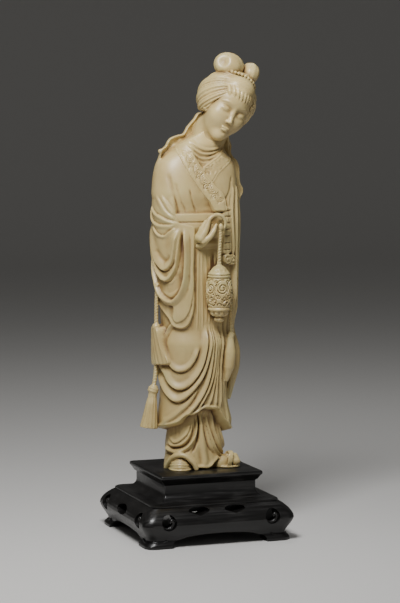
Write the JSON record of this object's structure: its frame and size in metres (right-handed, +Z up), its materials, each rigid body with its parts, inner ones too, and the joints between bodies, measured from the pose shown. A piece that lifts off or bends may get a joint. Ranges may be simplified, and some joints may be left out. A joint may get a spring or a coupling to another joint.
{
  "type": "guanyin figure",
  "caption": "Standing robed guanyin figure carved in an ivory-coloured material, with a lantern hanging from the bent right hand, on a dark pierced wooden plinth with scrolled feet",
  "frame": {"origin": "the middle of the plinth's underside, on the surface that the feet stand on", "axes": "+Z up along the figure's height, -Y the way the figure and the plinth face, +X to the viewer's right"},
  "size_m": [0.115, 0.112, 0.349],
  "materials": {
    "ivory": "satin cream carving, with tan stain in the recesses",
    "blackwood": "satin black stained wood, greyish along its worn edges"
  },
  "bodies": {
    "root": {"figure": "ivory", "plinth_platform": "blackwood", "plinth_base": "blackwood"}
  },
  "joints": []
}
